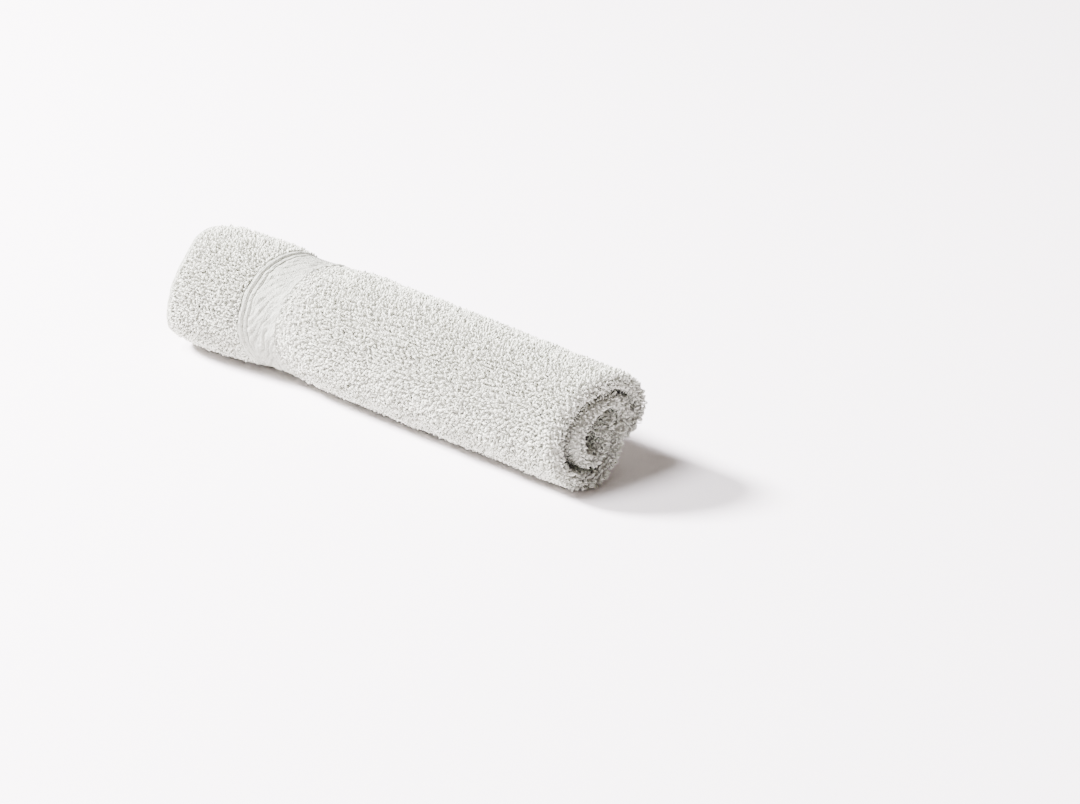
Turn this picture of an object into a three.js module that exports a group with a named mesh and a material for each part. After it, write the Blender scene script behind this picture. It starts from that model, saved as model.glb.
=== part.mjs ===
// A cotton terry towel, folded in half across its length and rolled up across its width.
// The roll lies on its side: +X runs along it to the folded end, +Z is up, millimetres.
// The doubled cloth is one solid. It winds inwards from a free edge low on the +Y side.

import * as THREE from "three";

// Driving dimensions
const ROLL_LENGTH = 340; // half of the flat towel's length
const CENTRE_HEIGHT = 37.7; // of the point that the turns wind round, above the floor
const FOLD_ROUNDING = 7; // how far back from the fold the doubled cloth starts to round over
const HEM_CLEFT = 10; // depth of the cleft between the two hems
const HEM_STEP = 4; // how much further in the inner hem ends
const BORDER_START = 65; // from the hemmed end to the woven border
const DEGREES_PER_STEP = 10; // along the winding
const COTTON = { color: 0xc9c6bf, roughness: 0.95, metalness: 0 };

// The winding, seen from the folded end, from the free edge inwards. Each row gives the
// angle from +Y, the radius of the middle of the doubled cloth, the thickness of the
// doubled cloth with its pile, and how far the fold and the hems are set back there.
const WINDING = [
  { angle: -28, radius: 30.9, thickness: 3.5, foldBack: 6, hemBack: 5 },
  { angle: -22, radius: 30.4, thickness: 5.5, foldBack: 4, hemBack: 5 },
  { angle: -8, radius: 33.7, thickness: 7.3, foldBack: 2, hemBack: 5 },
  { angle: 8, radius: 37.2, thickness: 8.5, foldBack: 1, hemBack: 4 },
  { angle: 25, radius: 36.6, thickness: 9.8, foldBack: 0.4, hemBack: 2 },
  { angle: 45, radius: 34.5, thickness: 11, foldBack: 0.1, hemBack: 1 },
  { angle: 90, radius: 30.8, thickness: 12.4, foldBack: 1, hemBack: 0.5 },
  { angle: 135, radius: 31.4, thickness: 12.8, foldBack: 5, hemBack: 9 },
  { angle: 180, radius: 34.1, thickness: 12.6, foldBack: 7, hemBack: 8 },
  { angle: 225, radius: 33.9, thickness: 12.6, foldBack: 6, hemBack: 0.2 },
  { angle: 250, radius: 33.8, thickness: 12.4, foldBack: 4, hemBack: 0.5 },
  { angle: 266, radius: 32.8, thickness: 12.2, foldBack: 3, hemBack: 1 },
  { angle: 285, radius: 29.2, thickness: 11.6, foldBack: 3, hemBack: 2 },
  { angle: 314, radius: 24.4, thickness: 11, foldBack: 3, hemBack: 3 },
  { angle: 332, radius: 21.5, thickness: 10.8, foldBack: 3, hemBack: 4 },
  { angle: 345, radius: 21.5, thickness: 10.5, foldBack: 2, hemBack: 4 },
  { angle: 360, radius: 24.6, thickness: 10.5, foldBack: 2, hemBack: 4 },
  { angle: 385, radius: 24.1, thickness: 11, foldBack: 2, hemBack: 5 },
  { angle: 405, radius: 21.2, thickness: 11.6, foldBack: 2, hemBack: 7 },
  { angle: 450, radius: 16.8, thickness: 13, foldBack: 2, hemBack: 9 },
  { angle: 495, radius: 16.7, thickness: 13.2, foldBack: 2, hemBack: 10 },
  { angle: 540, radius: 19.6, thickness: 12.8, foldBack: 2, hemBack: 5 },
  { angle: 585, radius: 19.7, thickness: 12.2, foldBack: 3, hemBack: 3 },
  { angle: 622, radius: 19, thickness: 12, foldBack: 3, hemBack: 4 },
  { angle: 645, radius: 15.6, thickness: 12, foldBack: 4, hemBack: 5 },
  { angle: 674, radius: 10.7, thickness: 11.6, foldBack: 4, hemBack: 7 },
  { angle: 696, radius: 9, thickness: 10.2, foldBack: 4, hemBack: 7 },
  { angle: 717, radius: 11, thickness: 9.4, foldBack: 5, hemBack: 8 },
  { angle: 734, radius: 13.6, thickness: 7, foldBack: 6, hemBack: 8 },
  { angle: 744, radius: 15, thickness: 4, foldBack: 7, hemBack: 8 },
];

// The roll along its length, from the hemmed end. Each row gives the distance from that
// end, the girth of the winding and the thickness of the cloth against the full ones,
// how far the roll is bent to the side there, and how far it is lifted off the floor.
const RINGS = [
  { fromHem: 2.5, girth: 1.05, cloth: 0.62, aside: -9.2, lift: 0.8 },
  { fromHem: 9, girth: 1.055, cloth: 0.68, aside: -8.7, lift: 0.8 },
  { fromHem: 11, girth: 1.05, cloth: 0.98, aside: -8.5, lift: 0.8 },
  { fromHem: 36, girth: 1.04, cloth: 1, aside: -5.7, lift: 0.8 },
  { fromHem: 57, girth: 1.025, cloth: 1, aside: -3.4, lift: 0.8 },
  { fromHem: BORDER_START, girth: 1.015, cloth: 0.96, aside: -2.6, lift: 0.8 },
  { fromHem: 67, girth: 1, cloth: 0.66, aside: -2.5, lift: 0.8 },
  { fromHem: 80, girth: 0.99, cloth: 0.6, aside: -1.4, lift: 0.8 },
  { fromHem: 93, girth: 0.99, cloth: 0.62, aside: -0.6, lift: 0.5 },
  { fromHem: 96, girth: 0.995, cloth: 0.92, aside: -0.5, lift: 0.5 },
  { fromHem: 108, girth: 1, cloth: 1, aside: 0, lift: 0 },
  { fromHem: 135, girth: 1.005, cloth: 1, aside: 0, lift: 0 },
  { fromHem: 172, girth: 0.998, cloth: 1, aside: 0, lift: 0 },
  { fromHem: 210, girth: 0.99, cloth: 1, aside: 0, lift: 0 },
  { fromHem: 250, girth: 0.975, cloth: 1, aside: 0, lift: 0 },
  { fromHem: 290, girth: 0.965, cloth: 1, aside: 0, lift: 0 },
  { fromHem: 318, girth: 0.96, cloth: 1, aside: 0, lift: 0 },
];

// A smooth curve through a table's rows, as a function from its key to the other columns.
function smoothTable(rows, key) {
  const columns = Object.keys(rows[0]).filter((name) => name !== key);
  const curve = new THREE.CubicInterpolant(
    rows.map((row) => row[key]),
    rows.flatMap((row) => columns.map((name) => row[name])),
    columns.length,
  );
  return (at) => {
    const values = curve.evaluate(at);
    return Object.fromEntries(columns.map((name, i) => [name, values[i]]));
  };
}

// The doubled cloth cut along the roll's length, as a closed outline of points. Each has
// its ring and its place across the cloth, from 1 on the outer face to -1 on the inner.
function clothOutline() {
  const hemRing = RINGS[0];
  const foldRing = RINGS[RINGS.length - 1];
  const outer = RINGS.map((ring) => ({ ring, at: ring.fromHem, across: 1 }));
  const foldSteps = [90, 60, 35, 15].map((turned) => THREE.MathUtils.degToRad(turned));
  const fold = foldSteps.map((turned) => ({
    ring: foldRing,
    at: ROLL_LENGTH - FOLD_ROUNDING * (1 - Math.cos(turned)),
    across: Math.sin(turned),
    atFold: true,
  }));
  const nose = { ring: foldRing, at: ROLL_LENGTH, across: 0, atFold: true };
  const mirrored = (points) =>
    points.map((point) => ({ ...point, across: -point.across })).reverse();
  const hems = [
    { ring: hemRing, at: HEM_STEP, across: -0.7 },
    { ring: hemRing, at: HEM_STEP + 1, across: -0.3 },
    { ring: hemRing, at: HEM_CLEFT, across: 0 },
    { ring: hemRing, at: 1, across: 0.3 },
    { ring: hemRing, at: 0, across: 0.7 },
  ];
  return [...outer, ...fold, nose, ...mirrored(fold), ...mirrored(outer), ...hems];
}

// Where a point of the cloth's outline lies once the cloth is wound to an angle.
function woundPoint(point, angle, winding) {
  const { radius, thickness, foldBack, hemBack } = winding;
  const { girth, cloth, aside, lift } = point.ring;
  const reach = radius * girth + (point.across * thickness * cloth) / 2;
  const turned = THREE.MathUtils.degToRad(angle);
  const hemShare = Math.max(0, 1 - point.at / BORDER_START);
  const x = point.at + hemBack * hemShare - (point.atFold ? foldBack : 0);
  const y = aside + reach * Math.cos(turned);
  const z = CENTRE_HEIGHT * girth + lift + reach * Math.sin(turned);
  return [x, y, Math.max(z, 0)];
}

function windingAngles() {
  const first = WINDING[0].angle;
  const last = WINDING[WINDING.length - 1].angle;
  const steps = Math.round((last - first) / DEGREES_PER_STEP);
  return Array.from({ length: steps + 1 }, (_, i) => first + ((last - first) * i) / steps);
}

function rolledTowelGeometry() {
  const outline = clothOutline();
  const windingAt = smoothTable(WINDING, "angle");
  const angles = windingAngles();
  const count = outline.length;
  const positions = angles.flatMap((angle) => {
    const winding = windingAt(angle);
    return outline.flatMap((point) => woundPoint(point, angle, winding));
  });

  const index = [];
  for (let step = 0; step + 1 < angles.length; step += 1) {
    for (let i = 0; i < count; i += 1) {
      const here = step * count + i;
      const beside = step * count + ((i + 1) % count);
      index.push(here, here + count, beside);
      index.push(beside, here + count, beside + count);
    }
  }

  // The two edges of the cloth, along the selvedges
  const flat = outline.map((point) => new THREE.Vector2(point.at, point.across));
  const lastStart = (angles.length - 1) * count;
  for (const [a, b, c] of THREE.ShapeUtils.triangulateShape(flat, [])) {
    index.push(a, c, b);
    index.push(lastStart + a, lastStart + b, lastStart + c);
  }

  const geometry = new THREE.BufferGeometry();
  geometry.setAttribute("position", new THREE.Float32BufferAttribute(positions, 3));
  geometry.setIndex(index);
  geometry.computeVertexNormals();
  return geometry;
}

// The origin is at the middle of the roll's own box, on the floor.
function centred(geometry) {
  geometry.computeBoundingBox();
  const middle = geometry.boundingBox.getCenter(new THREE.Vector3());
  return geometry.translate(-middle.x, -middle.y, 0);
}

const towel = new THREE.Mesh(
  centred(rolledTowelGeometry()),
  new THREE.MeshStandardMaterial(COTTON),
);
towel.name = "towel";

const rolledTowel = new THREE.Group();
rolledTowel.add(towel);

export default rolledTowel;
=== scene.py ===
"""A cotton terry towel, folded in half across its length and rolled up across its width.

The cloth is one folded sheet wound on the solid's own turns, with both hems turned under
and stitched. The pile on it is made of single yarn loops, copied by arrays into a few
joined meshes.
"""
import math

import bmesh
import bpy
import numpy as np
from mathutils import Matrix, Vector


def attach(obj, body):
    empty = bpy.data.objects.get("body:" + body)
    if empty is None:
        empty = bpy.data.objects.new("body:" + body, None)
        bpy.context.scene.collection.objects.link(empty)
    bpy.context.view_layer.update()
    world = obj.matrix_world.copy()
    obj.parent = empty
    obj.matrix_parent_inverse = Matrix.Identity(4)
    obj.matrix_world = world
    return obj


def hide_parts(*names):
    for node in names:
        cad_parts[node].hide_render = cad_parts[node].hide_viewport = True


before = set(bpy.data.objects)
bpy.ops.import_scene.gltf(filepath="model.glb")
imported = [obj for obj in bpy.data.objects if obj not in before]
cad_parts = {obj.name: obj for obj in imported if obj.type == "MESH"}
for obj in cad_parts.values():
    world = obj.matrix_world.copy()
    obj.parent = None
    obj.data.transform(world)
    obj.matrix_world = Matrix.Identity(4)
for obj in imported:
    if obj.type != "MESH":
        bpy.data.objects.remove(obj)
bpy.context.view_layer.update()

MM = 0.001
SEED = 41

# The towel, in metres and degrees of the winding
ROLL_LENGTH = 0.340  # half of the flat towel's length
CENTRE_HEIGHT = 0.0377  # of the point that the turns wind round, above the floor
ORIGIN_SHIFT = (-0.170, 0.0041)  # moves the winding to the CAD box's own origin
CLOTH_THICKNESS = 1.2 * MM  # of the woven ground, without its pile
PILE_HEIGHT = 2.8 * MM
LOOP_PITCH = 1.9 * MM  # from one pile loop to the next
YARN_RADIUS = 0.5 * MM
HEM_DEPTH = 3.2 * MM  # the hem's smooth strip
OUTER_TURN_END = 350  # a little past where the free edge lies on the next turn
CHANNEL_FROM = 400  # where the open channel in the middle starts
CHANNEL_DEPTH = 42 * MM  # how far in the channel's pile can be seen
LIP_DEPTH = 16 * MM  # how far in the pile between the turns can be seen
STITCH_LINE = 2.5 * MM  # from the hem's edge
STITCH_PITCH = 3 * MM
STITCH_SIZE = (2.4 * MM, 0.6 * MM, 0.5 * MM)
HEM_TURN = 1.35 * MM  # from the hem's outer layer to the layer turned under it
LEAST_HALF = 0.75 * MM  # from the doubled cloth's middle to the middle of either half
FOLD_REACH = 4 * MM  # how far the ground bulges forward at the fold
FOLD_START = ROLL_LENGTH - PILE_HEIGHT - CLOTH_THICKNESS / 2 - FOLD_REACH
BORDER = (0.065, 0.098)  # the woven border, from the hemmed end
CREASE_SLANT = 1.6  # how far round its creases run for each step along the towel

# The winding, seen from the folded end, from the free edge inwards: the angle from +Y in
# degrees, and in metres the radius of the doubled cloth's middle, its thickness with the
# pile, and how far the fold and the hems are set back there. Low at the front the hems
# stick out a little further than in the plain solid.
WINDING = np.array(
    [
        (-28, 0.0309, 0.0035, 0.0060, 0.0050),
        (-22, 0.0304, 0.0055, 0.0040, 0.0050),
        (-8, 0.0337, 0.0073, 0.0020, 0.0050),
        (8, 0.0372, 0.0085, 0.0010, 0.0040),
        (25, 0.0366, 0.0098, 0.0004, 0.0020),
        (45, 0.0345, 0.0110, 0.0001, 0.0010),
        (90, 0.0308, 0.0124, 0.0010, 0.0005),
        (135, 0.0314, 0.0128, 0.0050, 0.0090),
        (180, 0.0341, 0.0126, 0.0070, 0.0065),
        (225, 0.0339, 0.0126, 0.0060, -0.0050),
        (250, 0.0338, 0.0124, 0.0040, -0.0050),
        (266, 0.0328, 0.0122, 0.0030, -0.0025),
        (285, 0.0292, 0.0116, 0.0030, 0.0010),
        (314, 0.0244, 0.0110, 0.0030, 0.0030),
        (332, 0.0215, 0.0108, 0.0030, 0.0040),
        (345, 0.0215, 0.0105, 0.0020, 0.0040),
        (360, 0.0246, 0.0105, 0.0020, 0.0040),
        (385, 0.0241, 0.0110, 0.0020, 0.0050),
        (405, 0.0212, 0.0116, 0.0020, 0.0070),
        (450, 0.0168, 0.0130, 0.0020, 0.0090),
        (495, 0.0167, 0.0132, 0.0020, 0.0100),
        (540, 0.0196, 0.0128, 0.0020, 0.0050),
        (585, 0.0197, 0.0122, 0.0030, 0.0030),
        (622, 0.0190, 0.0120, 0.0030, 0.0040),
        (645, 0.0156, 0.0120, 0.0040, 0.0050),
        (674, 0.0107, 0.0116, 0.0040, 0.0070),
        (696, 0.0090, 0.0102, 0.0040, 0.0070),
        (717, 0.0110, 0.0094, 0.0050, 0.0080),
        (734, 0.0136, 0.0070, 0.0060, 0.0080),
        (744, 0.0150, 0.0040, 0.0070, 0.0080),
    ]
)

# The roll along its length: the distance from the hemmed end, the girth and the cloth's
# thickness against the full ones, the bend to the side, and the lift off the floor. The
# cloth thickens after the border a little more slowly than in the plain solid.
RINGS = np.array(
    [
        (0.0025, 1.050, 0.62, -0.0092, 0.0008),
        (0.0090, 1.055, 0.68, -0.0087, 0.0008),
        (0.0110, 1.050, 0.98, -0.0085, 0.0008),
        (0.0360, 1.040, 1.00, -0.0057, 0.0008),
        (0.0570, 1.025, 1.00, -0.0034, 0.0008),
        (0.0650, 1.015, 0.96, -0.0026, 0.0008),
        (0.0670, 1.000, 0.66, -0.0025, 0.0008),
        (0.0800, 0.990, 0.60, -0.0014, 0.0008),
        (0.0930, 0.990, 0.62, -0.0006, 0.0005),
        (0.0960, 0.995, 0.74, -0.0005, 0.0005),
        (0.1080, 1.000, 0.92, 0.0000, 0.0000),
        (0.1350, 1.005, 1.00, 0.0000, 0.0000),
        (0.1720, 0.998, 1.00, 0.0000, 0.0000),
        (0.2100, 0.990, 1.00, 0.0000, 0.0000),
        (0.2500, 0.975, 1.00, 0.0000, 0.0000),
        (0.2900, 0.965, 1.00, 0.0000, 0.0000),
        (0.3180, 0.960, 1.00, 0.0000, 0.0000),
    ]
)

# The share of the pile's height that stands up in the crevice between two turns, by the
# angle of the turn outside it. The crevice is open and dark where the share is small.
CREVICE_PILE = np.array(
    [
        (-28, 0.50),
        (30, 0.60),
        (60, 0.90),
        (112, 0.85),
        (135, 0.35),
        (165, 0.15),
        (228, 0.15),
        (246, 0.90),
        (268, 0.85),
        (285, 0.30),
        (325, 0.30),
        (350, 0.55),
        (744, 0.55),
    ]
)
CHANNEL_PILE = 0.55  # the same share in the open channel
MOST_TRIANGLES = 198000  # in one piece

rng = np.random.default_rng(SEED)


# Shapes


def smooth_columns(rows, at):
    """The table's other columns at each place, by the smooth curve that the solid uses."""
    keys = rows[:, 0]
    at = np.clip(at, keys[0], keys[-1])
    slopes = np.diff(rows[:, 1:], axis=0) / np.diff(keys)[:, None]
    ends = np.vstack([slopes[:1], (slopes[1:] + slopes[:-1]) / 2, slopes[-1:]])
    i = np.clip(np.searchsorted(keys, at, side="right") - 1, 0, len(keys) - 2)
    span = (keys[i + 1] - keys[i])[..., None]
    p = (at - keys[i])[..., None] / span
    a, b = rows[i, 1:], rows[i + 1, 1:]
    s, t = ends[i] * span, ends[i + 1] * span
    curve = (2 * p**3 - 3 * p**2 + 1) * a + (p**3 - 2 * p**2 + p) * s
    curve += (3 * p**2 - 2 * p**3) * b + (p**3 - p**2) * t
    return np.moveaxis(curve, -1, 0)


def along(at, column):
    """One column of the rings' table, a little rounded where its straight pieces meet."""
    spread = (-3 * MM, 0, 3 * MM)
    return sum(np.interp(at + d, RINGS[:, 0], RINGS[:, column]) for d in spread) / 3


def step(low, high, x):
    """0 below low, 1 above high, smooth between."""
    t = np.clip((x - low) / (high - low), 0, 1)
    return t * t * (3 - 2 * t)


def lumps(a, b, size, seed, waves=9):
    """Soft uneven bumps from -1 to 1 over two flat coordinates in metres."""
    random = np.random.default_rng(seed)
    total = np.zeros(np.broadcast(a, b).shape)
    for _ in range(waves):
        turn, phase = random.uniform(0, 2 * math.pi, 2)
        length = size * random.uniform(0.7, 1.6)
        run = (a * math.cos(turn) + b * math.sin(turn)) / length
        total += np.sin(2 * math.pi * run + phase)
    return total / waves * 1.6


def arc_table():
    """Angles of the winding and the length of doubled cloth up to each, in metres."""
    angles = np.linspace(WINDING[0, 0], WINDING[-1, 0], 1500)
    radius = smooth_columns(WINDING, angles)[0]
    turned = np.radians(angles)
    x, y = radius * np.cos(turned), radius * np.sin(turned)
    steps = np.hypot(np.diff(x), np.diff(y))
    return angles, np.concatenate([[0], np.cumsum(steps)])


ANGLES, ARC = arc_table()


def arc_of(angle):
    return float(np.interp(angle, ANGLES, ARC))


def pile_height(at):
    """How high the pile stands along the towel. Hems and border have none.

    After the border it starts under half as high and is full 24 mm further on.
    """
    past_hem = step(HEM_DEPTH, HEM_DEPTH + 2 * MM, at)
    before_border = 1 - step(BORDER[0] - 0.2 * MM, BORDER[0] + 0.4 * MM, at)
    after_border = 0.45 * step(BORDER[1] - 2 * MM, BORDER[1] + 1 * MM, at)
    after_border += 0.55 * step(BORDER[1], BORDER[1] + 24 * MM, at)
    return PILE_HEIGHT * (past_hem * before_border + after_border)


def crevice_pile(arc, side):
    """The share of the pile's height on the outer (1) or inner (-1) face in a crevice."""
    angle = np.interp(arc, ARC, ANGLES)
    turn_outside = np.where(np.asarray(side) > 0, angle - 360, angle)
    return np.interp(turn_outside, CREVICE_PILE[:, 0], CREVICE_PILE[:, 1])


def surface_half(at, thickness):
    """From the doubled cloth's middle to the face of its ground, under the pile."""
    full = thickness / 2 * along(at, 2)
    bare = np.maximum(full - pile_height(at), full * 0.55)
    return np.maximum(bare, LEAST_HALF + CLOTH_THICKNESS / 2)


def place(angle, at, offset):
    """Points at an angle of the winding, a distance from the hems and an offset outwards."""
    radius, _, fold_back, hem_back = smooth_columns(WINDING, angle)
    girth = along(at, 1)
    turned = np.radians(angle)
    fold_share = step(ROLL_LENGTH - 40 * MM, ROLL_LENGTH, at)
    x = at + hem_back * np.clip(1 - at / BORDER[0], 0, None) - fold_back * fold_share
    # Soft unevenness of the rolled cloth, none of it at the two ends
    uneven = lumps(np.radians(angle) * 0.03, at, 38 * MM, 5) * 0.7 * MM
    uneven *= step(0, 30 * MM, at) * step(0, 20 * MM, ROLL_LENGTH - at)
    reach = radius * girth + offset + uneven
    y = along(at, 3) + reach * np.cos(turned)
    z = CENTRE_HEIGHT * girth + along(at, 4) + reach * np.sin(turned)
    return np.stack([x + ORIGIN_SHIFT[0], y + ORIGIN_SHIFT[1], z], axis=-1)


def border_relief(arc, at):
    """Ribs, grooves and the puckers of the flat band, in metres above the ground."""
    def ridge(middle, width):
        return np.clip(1 - ((at - middle) / (width / 2)) ** 2, 0, None)

    start, end = BORDER
    # All its lines waver a little
    at = at + lumps(arc, 0 * arc, 9 * MM, 13) * 0.5 * MM
    at = at + lumps(arc, 0 * arc, 4 * MM, 14) * 0.2 * MM
    # Two ribs with a groove before, between and after them, and faint lines at the end
    relief = 0.7 * MM * ridge(start + 2.5 * MM, 2.8 * MM)
    relief -= 2.0 * MM * ridge(start + 0.1 * MM, 2.2 * MM)
    relief += 0.6 * MM * ridge(start + 5.8 * MM, 2.4 * MM)
    relief -= 0.9 * MM * ridge(start + 4.2 * MM, 1.0 * MM)
    relief -= 0.9 * MM * ridge(start + 7.4 * MM, 1.0 * MM)
    relief += 0.3 * MM * ridge(end - 1.6 * MM, 1.8 * MM)
    relief -= 0.35 * MM * ridge(end - 3.0 * MM, 1.0 * MM)
    relief -= 0.3 * MM * ridge(end - 0.3 * MM, 1.0 * MM)
    # Slanted creases 8.5 mm apart round the roll, with finer ones between them
    band = step(start + 7 * MM, start + 10 * MM, at) * (1 - step(end - 2 * MM, end + 2 * MM, at))
    warp = lumps(arc, at, 15 * MM, 11) * 0.6
    slant = (arc + CREASE_SLANT * at) / (8.5 * MM) + warp
    pinched = -np.exp(-((np.sin(math.pi * slant) / 0.42) ** 2))
    fine = np.sin(2 * math.pi * ((arc + 1.3 * at) / (4.2 * MM) + 2 * warp))
    patch = 0.75 + 0.35 * lumps(arc, at, 12 * MM, 12)
    return relief + band * patch * (1.7 * MM * pinched + 0.5 * MM * fine + 0.5 * MM)


def profile_rows():
    """The ground along the towel's length, hem to fold to hem: one row for each grid line.

    Columns: distance from the hemmed end, side from 1 outer to -1 inner, how far the
    layer lies under the face, and how far the fold bulges forward.
    """
    hem_edge = 0.5 * MM
    under = [(at, 1, HEM_TURN, 0) for at in np.linspace(HEM_DEPTH, hem_edge + 0.7 * MM, 4)]
    for turned in (-60, 0, 60):
        a = math.radians(turned)
        depth = HEM_TURN / 2 * (1 - math.sin(a))
        under.append((hem_edge + HEM_TURN / 2 * (1 - math.cos(a)), 1, depth, 0))
    fine_hem = np.linspace(hem_edge + 0.7 * MM, HEM_DEPTH + 2 * MM, 7)
    strip = np.linspace(HEM_DEPTH + 6 * MM, BORDER[0] - 4 * MM, 9)
    ribs = np.arange(BORDER[0] - 2 * MM, BORDER[0] + 8 * MM, 0.45 * MM)
    band = np.arange(BORDER[0] + 9 * MM, BORDER[1] - 5 * MM, 0.9 * MM)
    band_end = np.arange(BORDER[1] - 4.2 * MM, BORDER[1] + 2 * MM, 0.5 * MM)
    body = np.linspace(BORDER[1] + 5 * MM, FOLD_START, 26)
    outer = np.concatenate([fine_hem, strip, ribs, band, band_end, body])
    inner = np.concatenate([fine_hem, strip, np.linspace(BORDER[0], FOLD_START, 18)])
    rows = under + [(at, 1, 0, 0) for at in outer]
    for turned in (72, 54, 36, 18, 0, -18, -36, -54, -72):
        a = math.radians(turned)
        rows.append((FOLD_START, math.sin(a), 0, FOLD_REACH * math.cos(a)))
    rows += [(at, -1, 0, 0) for at in inner[::-1]]
    rows += [(at, -1, depth, 0) for at, _, depth, _ in under[::-1]]
    return np.array(rows)


def link(mesh, name, material):
    obj = bpy.data.objects.new(name, mesh)
    bpy.context.scene.collection.objects.link(obj)
    mesh.materials.append(material)
    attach(obj, "root")
    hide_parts("towel")
    return obj


def ground_cloth(material):
    """The woven ground as one sheet, folded in half, with its hems turned under."""
    rows = profile_rows()
    columns = 316
    outer_columns = 0.7  # the share of them on the outer turn
    bm = bmesh.new()
    bmesh.ops.create_grid(
        bm, x_segments=len(rows) - 1, y_segments=columns - 1, size=0.5
    )
    flat = np.array([vert.co[:2] for vert in bm.verts]) + 0.5
    line = np.rint(flat[:, 0] * (len(rows) - 1)).astype(int)
    arc = np.interp(flat[:, 1], (0, outer_columns, 1), (0, arc_of(OUTER_TURN_END), ARC[-1]))
    angle = np.interp(arc, ARC, ANGLES)
    at, side, under, bulge = rows[line].T
    thickness = smooth_columns(WINDING, angle)[1]
    half = surface_half(at, thickness) - CLOTH_THICKNESS / 2
    half = np.maximum(half - under, LEAST_HALF)
    outer_face = (side > 0.99) & (under == 0)
    half = half + np.where(outer_face, border_relief(arc, at), 0)
    # The hems' edges run in and out a little
    wavy = lumps(arc, 0 * arc, 45 * MM, 21) * 0.9 * MM
    wavy += lumps(arc, 0 * arc, 13 * MM, 22) * 0.45 * MM
    wavy *= 1 - step(0, 30 * MM, at)
    points = place(angle, at + wavy, side * half)
    points[:, 0] += bulge
    points[:, 2] = np.maximum(points[:, 2], CLOTH_THICKNESS)
    for vert, point in zip(bm.verts, points):
        vert.co = point

    # The flat cloth in metres, for its weave: across the winding, then along the towel
    layer = bm.loops.layers.uv.new("flat_cloth")
    flat_at = np.where(side >= 0, at, 2 * ROLL_LENGTH - at)
    for face in bm.faces:
        face.smooth = True
        for loop in face.loops:
            i = loop.vert.index
            loop[layer].uv = (arc[i], flat_at[i])
    mesh = bpy.data.meshes.new("terry_ground")
    bm.to_mesh(mesh)
    bm.free()
    # Painted shade: marks the ground under the pile, which is drawn darker for the pile's shade
    # on it
    covered = mesh.attributes.new("under_pile", "FLOAT", "POINT")
    covered.data.foreach_set("value", np.minimum(2 * pile_height(at) / PILE_HEIGHT, 1))
    cloth = link(mesh, "terry_ground", material)
    wall = cloth.modifiers.new("thickness", "SOLIDIFY")
    wall.thickness = CLOTH_THICKNESS
    wall.offset = 0
    return cloth


# The pile


def yarn_loop(width, height, twist, lean):
    """One loop of pile yarn, standing on the ground at the origin, as points and faces.

    It is a three-sided ball of five rings, stretched and bent into a standing ring whose
    two closed ends sit in the ground.
    """
    bm = bmesh.new()
    bmesh.ops.create_uvsphere(bm, u_segments=3, v_segments=6, radius=1)
    for vert in bm.verts:
        way = 1 - math.acos(max(-1, min(1, vert.co.z))) / math.pi
        round_it = math.hypot(vert.co.x, vert.co.y)
        spin = math.atan2(vert.co.y, vert.co.x)
        thin = YARN_RADIUS * min(1, round_it * 1.6)
        turned = (way - 0.5) * 2 * math.pi * 0.86
        middle = Vector(
            (
                width / 2 * math.sin(turned),
                twist * (way - 0.5),
                height / 2 * (1 + math.cos(turned)) - 0.4 * MM,
            )
        )
        outward = Vector((math.sin(turned), 0, math.cos(turned)))
        across = Vector((0, 1, 0))
        vert.co = middle + thin * (math.cos(spin) * outward + math.sin(spin) * across)
        vert.co.y += lean * (vert.co.z / height) ** 2 * height
    bmesh.ops.recalc_face_normals(bm, faces=bm.faces)
    bmesh.ops.triangulate(bm, faces=bm.faces)
    points = np.array([vert.co[:] for vert in bm.verts])
    faces = np.array([[vert.index for vert in face.verts] for face in bm.faces])
    bm.free()
    return points, faces


LOOPS = [
    yarn_loop(1.2 * MM, 3.0 * MM, 0.5 * MM, 0.1),
    yarn_loop(1.05 * MM, 3.2 * MM, -0.4 * MM, 0.3),
    yarn_loop(1.4 * MM, 2.8 * MM, 0.3 * MM, 0.4),
    yarn_loop(1.15 * MM, 2.9 * MM, -0.7 * MM, 0.2),
]


def spots(arc_range, at_range, pitch, jitter=0.31):
    """Uneven rows of places for loops, over the cloth's own flat coordinates."""
    arcs = np.arange(arc_range[0], arc_range[1], pitch)
    ats = np.arange(at_range[0], at_range[1], pitch)
    a, b = np.meshgrid(arcs, ats, indexing="ij")
    b = b + (np.arange(len(arcs)) % 2)[:, None] * pitch / 2
    a = a + rng.uniform(-jitter, jitter, a.shape) * pitch
    b = b + rng.uniform(-jitter, jitter, b.shape) * pitch
    return a.ravel(), b.ravel()


def face_point(arc, at, side):
    """A point on the ground's own face, on its outer or its inner side."""
    angle = np.interp(arc, ARC, ANGLES)
    thickness = smooth_columns(WINDING, angle)[1]
    return place(angle, at, side * surface_half(at, thickness))


def nose_point(arc, turned, _side):
    """A point on the ground's face round the fold, turned from the outer side by radians."""
    angle = np.interp(arc, ARC, ANGLES)
    at = np.full_like(arc, FOLD_START)
    thickness = smooth_columns(WINDING, angle)[1]
    point = place(angle, at, surface_half(at, thickness) * np.sin(turned))
    point[:, 0] += (FOLD_REACH + CLOTH_THICKNESS / 2) * np.cos(turned)
    return point


def frames(point_at, arc, along_it, side, outward_turn):
    """Points on a face with their tangents and outward normals, one frame for each."""
    small = 0.4 * MM
    reach = small if outward_turn is None else 0.08
    here = point_at(arc, along_it, side)
    forward = point_at(arc + small, along_it, side) - point_at(arc - small, along_it, side)
    ahead = point_at(arc, along_it + reach, side) - point_at(arc, along_it - reach, side)
    forward /= np.linalg.norm(forward, axis=1)[:, None]
    normal = np.cross(forward, ahead)
    normal /= np.linalg.norm(normal, axis=1)[:, None]
    normal *= np.sign(side)[:, None] if outward_turn is None else outward_turn
    return here, forward, normal


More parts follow.
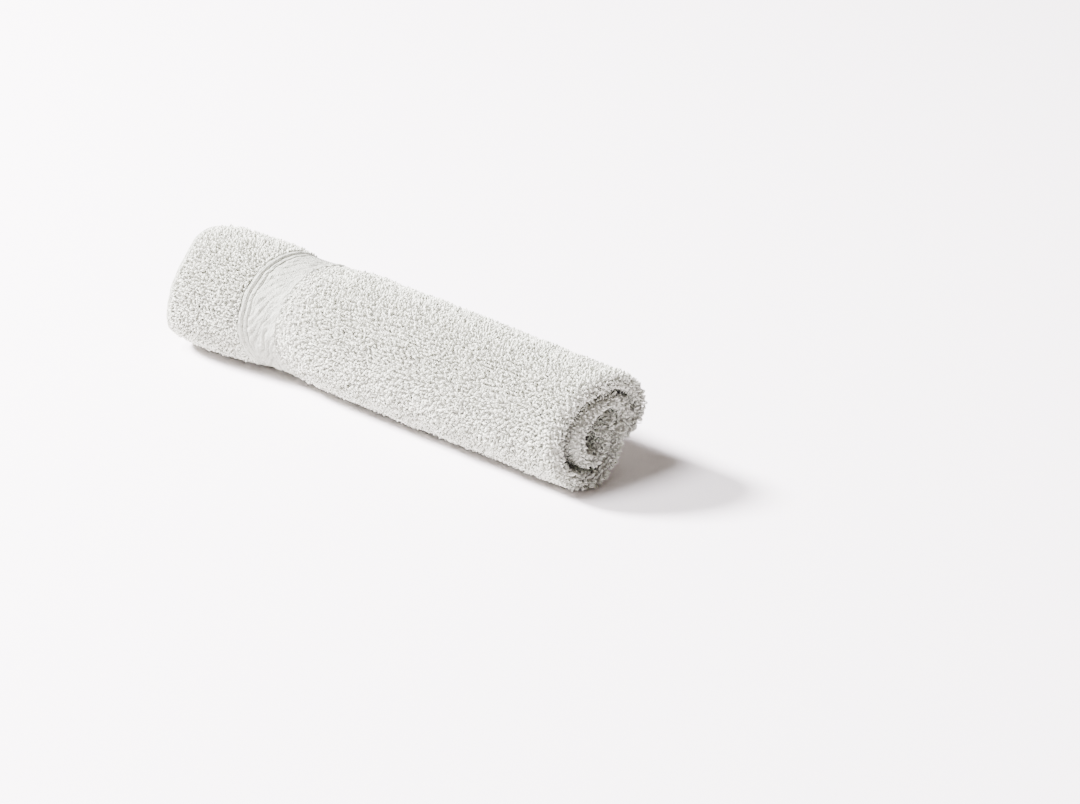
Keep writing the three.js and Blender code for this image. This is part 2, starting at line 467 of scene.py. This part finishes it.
def stand_loops(here, forward, normal, height, flattened, combed):
    """Loops on the face: each a template turned, leaned and scaled by chance.

    The combed share of them lies in line with the border's slanted creases.
    """
    count = len(here)
    kind = rng.integers(0, len(LOOPS), count)
    yaw = rng.uniform(0, 2 * math.pi, count)
    in_line = math.atan2(1, -CREASE_SLANT) + rng.normal(0, 0.3, count)
    yaw = np.where(rng.random(count) < combed, in_line, yaw)
    lean = rng.normal(0, 0.2, count) + flattened * rng.choice([-0.9, 0.9], count)
    lean = np.clip(lean, -1.25, 1.25)
    size = rng.normal(1, 0.12, count).clip(0.7, 1.35)
    tall = height * rng.normal(1, 0.13, count).clip(0.6, 1.3)
    side_way = np.cross(normal, forward)
    x_axis = np.cos(yaw)[:, None] * forward + np.sin(yaw)[:, None] * side_way
    y_axis = np.cross(normal, x_axis)
    z_axis = np.cos(lean)[:, None] * normal + np.sin(lean)[:, None] * y_axis
    y_axis = np.cross(z_axis, x_axis)
    axes = np.stack([x_axis, y_axis, z_axis], axis=1)
    scale = np.stack([size, size, tall], axis=1)
    points = np.array([LOOPS[k][0] for k in kind]) * scale[:, None, :]
    world = np.einsum("nvc,ncd->nvd", points, axes) + here[:, None, :]
    faces = np.array([LOOPS[k][1] for k in kind])
    sunk = 1 - points[..., 2] / points[..., 2].max(axis=1, keepdims=True)
    rises = 1 - sunk * tall[:, None].clip(0, 1)
    return world, faces, rises


def pile_piece(name, world, faces, rises, material):
    """Joins loops into one mesh, with the tone and the rise that its cotton reads."""
    count, each = world.shape[:2]
    world = world.copy()
    world[..., 2] = np.maximum(world[..., 2], 0)
    index = (faces + np.arange(count)[:, None, None] * each).reshape(-1, 3)
    mesh = bpy.data.meshes.new(name)
    mesh.vertices.add(count * each)
    mesh.vertices.foreach_set("co", world.ravel())
    mesh.loops.add(index.size)
    mesh.loops.foreach_set("vertex_index", index.ravel())
    mesh.polygons.add(len(index))
    mesh.polygons.foreach_set("loop_start", np.arange(0, index.size, 3))
    mesh.update(calc_edges=True)
    mesh.shade_smooth()
    tone = mesh.attributes.new("yarn_tone", "FLOAT", "POINT")
    tone.data.foreach_set("value", np.repeat(rng.random(count), each))
    rise = mesh.attributes.new("yarn_rise", "FLOAT", "POINT")
    rise.data.foreach_set("value", rises.ravel())
    mesh.validate()
    return link(mesh, name, material)


def pile(material):
    """All the pile that shows: outer turn, fold's lips, channel and behind the hems."""
    batches = []

    def grow(point_at, arc, along_it, side, turn=None, at=None, share=1, splay=0, painted_shade=0):
        """Stands loops on a face, at a share of their height, splayed and darkened with painted
        shade.
        """
        here, forward, normal = frames(point_at, arc, along_it, side, turn)
        at = along_it if at is None else at
        height = pile_height(at) / PILE_HEIGHT * share
        # After the border the loops lie down, and on top of the roll along its creases
        soft = step(BORDER[1] - 2 * MM, BORDER[1], at)
        soft = soft * (1 - step(BORDER[1] + 6 * MM, BORDER[1] + 34 * MM, at))
        combed = 0.9 * soft * (1 - step(arc_of(140), arc_of(190), arc))
        soft = np.maximum(soft, splay)
        height = np.maximum(height, 0.3)
        world, faces, rises = stand_loops(here, forward, normal, height, soft, combed)
        # Painted shade: a lower rise gives more of each loop the darker root colour
        kept = 1 - np.broadcast_to(painted_shade, arc.shape)
        batches.append((world, faces, rises * kept[:, None]))

    # The outer face of the first turn, and a strip of the next under its free edge
    outer_end = arc_of(OUTER_TURN_END)
    for start, end in ((HEM_DEPTH + 1 * MM, BORDER[0]), (BORDER[1], FOLD_START)):
        arc, at = spots((0.8 * MM, outer_end), (start, end), LOOP_PITCH)
        grow(face_point, arc, at, np.ones_like(arc))

    # The pile's edge at the border, full height and leaning over the first groove
    arc, at = spots((0.8 * MM, outer_end), (BORDER[0] - 1.3 * MM, BORDER[0]), 1.3 * MM)
    full = np.full_like(arc, BORDER[0] - 2 * MM)
    grow(face_point, arc, at, np.ones_like(arc), at=full)

    # The lips of the fold, on every turn, pressed down in the crevices between them
    whole = (0.8 * MM, ARC[-1] - 0.8 * MM)
    lip = (FOLD_START - LIP_DEPTH, FOLD_START)
    arc, at = spots((outer_end, whole[1]), lip, LOOP_PITCH)
    # In the crevices the loops get painted shade, more where they are pressed lower
    share = crevice_pile(arc, 1)
    grow(face_point, arc, at, np.ones_like(arc), share=share, painted_shade=0.6 * (1 - share))
    arc, at = spots(whole, lip, LOOP_PITCH)
    share = crevice_pile(arc, -1)
    grow(face_point, arc, at, -np.ones_like(arc), share=share, painted_shade=0.6 * (1 - share))
    arc, turned = spots(whole, (0, math.pi * FOLD_REACH), LOOP_PITCH)
    turned = math.pi / 2 - turned / FOLD_REACH
    at = np.full_like(arc, FOLD_START)
    outermost = (turned > 0) & (arc < outer_end)
    pressed = crevice_pile(arc, np.sign(turned))
    share = np.where(outermost, 1, pressed + (1 - pressed) * np.cos(turned) ** 2)
    # Painted shade: round the fold, from the nose inwards, the loops take more of their darker
    # root colour, and more where they are pressed low
    painted_shade = 0.4 * np.sqrt(np.cos(np.maximum(turned, 0)).clip(0, 1)) + 0.2 * (1 - share)
    sides = np.ones_like(arc)
    grow(nose_point, arc, turned, sides, turn=-1, at=at, share=share, splay=0.45, painted_shade=painted_shade)

    # The open channel in the middle, further in from both ends
    channel = (arc_of(CHANNEL_FROM), whole[1])
    for start, end in (
        (FOLD_START - CHANNEL_DEPTH, FOLD_START - LIP_DEPTH),
        (HEM_DEPTH + 11 * MM, HEM_DEPTH + CHANNEL_DEPTH),
    ):
        arc, at = spots(channel, (start, end), LOOP_PITCH)
        grow(face_point, arc, at, -np.ones_like(arc), share=CHANNEL_PILE)

    # Behind the hems, on the faces of the inner turns
    behind_hem = (HEM_DEPTH + 1 * MM, HEM_DEPTH + 11 * MM)
    arc, at = spots((outer_end, whole[1]), behind_hem, LOOP_PITCH)
    grow(face_point, arc, at, np.ones_like(arc))
    arc, at = spots(whole, behind_hem, LOOP_PITCH)
    grow(face_point, arc, at, -np.ones_like(arc))

    world, faces, rises = (np.concatenate(parts) for parts in zip(*batches))
    most = MOST_TRIANGLES // faces.shape[1]
    order = np.argsort(world[:, 0, 0])
    pieces = []
    for i, part in enumerate(np.array_split(order, math.ceil(len(order) / most))):
        name = f"terry_pile_{i + 1}"
        pieces.append(pile_piece(name, world[part], faces[part], rises[part], material))
    return pieces


def hem_stitches(material):
    """The line of machine stitches that holds each hem, on its outer face."""
    bm = bmesh.new()
    bmesh.ops.create_uvsphere(bm, u_segments=6, v_segments=4, radius=1)
    bmesh.ops.triangulate(bm, faces=bm.faces)
    ball = np.array([vert.co[:] for vert in bm.verts])
    shape = np.array([[vert.index for vert in face.verts] for face in bm.faces])
    bm.free()
    stitch = ball * np.array(STITCH_SIZE) / 2
    batches = []
    for side in (1, -1):
        arc = np.arange(STITCH_PITCH, ARC[-1] - STITCH_PITCH, STITCH_PITCH)
        line = np.full_like(arc, STITCH_LINE)
        sides = np.full_like(arc, side)
        here, forward, normal = frames(face_point, arc, line, sides, None)
        axes = np.stack([forward, np.cross(normal, forward), normal], axis=1)
        batches.append(np.einsum("vc,ncd->nvd", stitch, axes) + here[:, None, :])
    world = np.concatenate(batches)
    faces = np.repeat(shape[None], len(world), axis=0)
    return pile_piece("hem_stitches", world, faces, np.ones(world.shape[:2]), material)


# Materials


def linear(hex_colour):
    """An sRGB hex colour as the linear colour that Blender's sockets take."""
    def channel(value):
        return value / 12.92 if value <= 0.04045 else ((value + 0.055) / 1.055) ** 2.4

    digits = hex_colour.lstrip("#")
    return (*(channel(int(digits[i : i + 2], 16) / 255) for i in (0, 2, 4)), 1.0)


def node(tree, kind, settings=None, **inputs):
    """Adds a node, sets its own settings, and fills or links its inputs.

    An input goes by its name, with _ for a space, or by its number, such as i0.
    """
    made = tree.nodes.new(kind)
    for key, value in (settings or {}).items():
        setattr(made, key, value)
    for key, value in inputs.items():
        numbered = key[1:].isdigit()
        socket = made.inputs[int(key[1:]) if numbered else key.replace("_", " ")]
        if isinstance(value, bpy.types.NodeSocket):
            tree.links.new(value, socket)
        else:
            socket.default_value = value
    return made


def new_material(name):
    material = bpy.data.materials.new(name)
    material.use_nodes = True
    material.node_tree.nodes.clear()
    return material, material.node_tree


def looped_cotton():
    """Carded cotton yarn, spun soft and looped: matt, pale, with a downy edge of fibres."""
    material, tree = new_material("looped_cotton_yarn")
    tone = node(tree, "ShaderNodeAttribute", {"attribute_name": "yarn_tone"})
    coords = node(tree, "ShaderNodeTexCoord")
    patches = node(
        tree,
        "ShaderNodeTexNoise",
        Vector=coords.outputs["Object"],
        Scale=45.0,
        Detail=2.0,
    )
    both = node(
        tree,
        "ShaderNodeMath",
        {"operation": "MULTIPLY_ADD"},
        i0=patches.outputs["Fac"],
        i1=0.4,
        i2=tone.outputs["Fac"],
    )
    ramp = node(tree, "ShaderNodeValToRGB", Fac=both.outputs[0])
    ramp.color_ramp.elements[0].color = linear("#d5d7cb")
    ramp.color_ramp.elements[1].color = linear("#e8eade")
    # Painted shade: towards its root each yarn is drawn darker, for the shade of fibres finer
    # than the modelled loops, and darker still where the pile gets painted shade over the fold
    # and in the crevices
    rise = node(tree, "ShaderNodeAttribute", {"attribute_name": "yarn_rise"})
    shade = node(tree, "ShaderNodeMapRange", Value=rise.outputs["Fac"])
    shade.inputs["From Min"].default_value = 0.1
    shade.inputs["From Max"].default_value = 0.7
    rooted = node(
        tree,
        "ShaderNodeMix",
        {"data_type": "RGBA"},
        i0=shade.outputs["Result"],
        i6=linear("#c3c3b9"),
        i7=ramp.outputs["Color"],
    )
    # Yarn plies 0.45 mm apart
    plies = node(
        tree,
        "ShaderNodeTexNoise",
        Vector=coords.outputs["Object"],
        Scale=1 / (0.45 * MM),
        Detail=1.0,
    )
    bump = node(
        tree,
        "ShaderNodeBump",
        Height=plies.outputs["Fac"],
        Strength=0.5,
        Distance=0.15 * MM,
    )
    cotton = node(
        tree,
        "ShaderNodeBsdfPrincipled",
        Base_Color=rooted.outputs["Result"],
        Normal=bump.outputs["Normal"],
        Roughness=0.92,
    )
    cotton.inputs["Sheen Weight"].default_value = 0.15
    cotton.inputs["Sheen Roughness"].default_value = 0.6
    cotton.inputs["Specular IOR Level"].default_value = 0.2
    out = node(tree, "ShaderNodeOutputMaterial")
    tree.links.new(cotton.outputs["BSDF"], out.inputs["Surface"])
    return material


def woven_cotton():
    """Plain woven cotton of the ground, hems and border: matt, with fine crosswise ribs."""
    material, tree = new_material("woven_cotton_ground")
    flat = node(tree, "ShaderNodeUVMap", {"uv_map": "flat_cloth"})
    # Weft ribs 0.9 mm apart, drawn a little coarse so that they show
    weft = node(
        tree,
        "ShaderNodeTexWave",
        {"wave_type": "BANDS", "bands_direction": "Y"},
        Vector=flat.outputs["UV"],
        Scale=1 / (0.9 * MM) / 20 * 2 * math.pi,
        Distortion=0.6,
        Detail=1.0,
    )
    warp = node(
        tree,
        "ShaderNodeTexWave",
        {"wave_type": "BANDS", "bands_direction": "X"},
        Vector=flat.outputs["UV"],
        Scale=1 / (0.7 * MM) / 20 * 2 * math.pi,
        Distortion=0.6,
        Detail=1.0,
    )
    weave = node(
        tree,
        "ShaderNodeMath",
        {"operation": "MULTIPLY_ADD"},
        i0=warp.outputs["Fac"],
        i1=0.5,
        i2=weft.outputs["Fac"],
    )
    coords = node(tree, "ShaderNodeTexCoord")
    patches = node(
        tree,
        "ShaderNodeTexNoise",
        Vector=coords.outputs["Object"],
        Scale=60.0,
        Detail=2.0,
    )
    # Painted shade: this cotton is drawn darker than the same cotton in the loops, so that the
    # bare cloth reads as dark as the self-shaded pile
    ramp = node(tree, "ShaderNodeValToRGB", Fac=patches.outputs["Fac"])
    ramp.color_ramp.elements[0].color = linear("#a4a69b")
    ramp.color_ramp.elements[1].color = linear("#b8baaf")
    # Painted shade under the pile: the ground there is mixed towards a darker colour
    covered = node(tree, "ShaderNodeAttribute", {"attribute_name": "under_pile"})
    shaded = node(
        tree,
        "ShaderNodeMix",
        {"data_type": "RGBA"},
        i0=covered.outputs["Fac"],
        i6=ramp.outputs["Color"],
        i7=linear("#a5a59b"),
    )
    # Crinkles of the shrunk cloth, about 2 mm across and drawn out on the slant
    slanted = node(
        tree, "ShaderNodeMapping", {"vector_type": "TEXTURE"}, Vector=flat.outputs["UV"]
    )
    slanted.inputs["Rotation"].default_value = (0, 0, math.radians(58))
    slanted.inputs["Scale"].default_value = (1.0, 2.2, 1.0)
    crinkles = node(
        tree,
        "ShaderNodeTexNoise",
        Vector=slanted.outputs["Vector"],
        Scale=1 / (2.4 * MM),
        Detail=3.0,
        Roughness=0.6,
    )
    crumpled = node(
        tree,
        "ShaderNodeBump",
        Height=crinkles.outputs["Fac"],
        Strength=1.0,
        Distance=3.4 * MM,
    )
    bump = node(
        tree,
        "ShaderNodeBump",
        Height=weave.outputs[0],
        Normal=crumpled.outputs["Normal"],
        Strength=0.8,
        Distance=0.22 * MM,
    )
    cotton = node(
        tree,
        "ShaderNodeBsdfPrincipled",
        Base_Color=shaded.outputs["Result"],
        Normal=bump.outputs["Normal"],
        Roughness=0.9,
    )
    cotton.inputs["Sheen Weight"].default_value = 0.1
    cotton.inputs["Specular IOR Level"].default_value = 0.2
    out = node(tree, "ShaderNodeOutputMaterial")
    tree.links.new(cotton.outputs["BSDF"], out.inputs["Surface"])
    return material


def painted_table():
    """A smooth matt white table top."""
    material, tree = new_material("matt_white_table")
    white = node(
        tree, "ShaderNodeBsdfPrincipled", Base_Color=linear("#fffafc"), Roughness=0.7
    )
    out = node(tree, "ShaderNodeOutputMaterial")
    tree.links.new(white.outputs["BSDF"], out.inputs["Surface"])
    return material


# The room


def table_top():
    bm = bmesh.new()
    bmesh.ops.create_grid(bm, x_segments=1, y_segments=1, size=6)
    mesh = bpy.data.meshes.new("table_top")
    bm.to_mesh(mesh)
    bm.free()
    obj = bpy.data.objects.new("table_top", mesh)
    bpy.context.scene.collection.objects.link(obj)
    mesh.materials.append(painted_table())


def soft_box(name, location, target, size, watts, colour):
    lamp = bpy.data.lights.new(name, "AREA")
    lamp.shape = "DISK"
    lamp.size = size
    lamp.energy = watts
    lamp.color = linear(colour)[:3]
    obj = bpy.data.objects.new(name, lamp)
    obj.location = location
    aim = Vector(target) - Vector(location)
    obj.rotation_euler = aim.to_track_quat("-Z", "Y").to_euler()
    bpy.context.scene.collection.objects.link(obj)


def room_light():
    world = bpy.data.worlds.new("pale_room")
    bpy.context.scene.world = world
    world.use_nodes = True
    background = world.node_tree.nodes["Background"]
    background.inputs["Color"].default_value = linear("#fff2e6")
    background.inputs["Strength"].default_value = 0.3


def camera():
    """The photo's own view: 42 degrees round from the front, 25 above the table."""
    azimuth, elevation = math.radians(42), math.radians(25.3)
    distance, focal_px, width_px, height_px = 1.9, 3050, 1080, 804
    seen_at = (398.5, 352.5)  # where the photo shows the middle of the roll
    back = Vector(
        (
            math.sin(azimuth) * math.cos(elevation),
            -math.cos(azimuth) * math.cos(elevation),
            math.sin(elevation),
        )
    )
    right = Vector((math.cos(azimuth), math.sin(azimuth), 0))
    up = back.cross(right)
    side = (seen_at[0] - width_px / 2) * distance / focal_px
    rise = (height_px / 2 - seen_at[1]) * distance / focal_px
    data = bpy.data.cameras.new("camera")
    data.sensor_width = 36
    data.lens = 36 * focal_px / width_px
    obj = bpy.data.objects.new("camera", data)
    obj.location = Vector((0, 0.0018, 0.038)) + back * distance - right * side - up * rise
    obj.rotation_euler = (-back).to_track_quat("-Z", "Y").to_euler()
    bpy.context.scene.collection.objects.link(obj)
    bpy.context.scene.camera = obj


ground = ground_cloth(woven_cotton())
yarn = looped_cotton()
on_cloth = [*pile(yarn), hem_stitches(yarn)]

table_top()
room_light()
soft_box("window_side", (-2.25, -1.12, 2.1), (0, 0, 0), 0.7, 1060, "#fffbff")
soft_box("overhead", (-0.6, -1.15, 2.3), (0, 0, 0), 1.0, 180, "#fffbff")
camera()
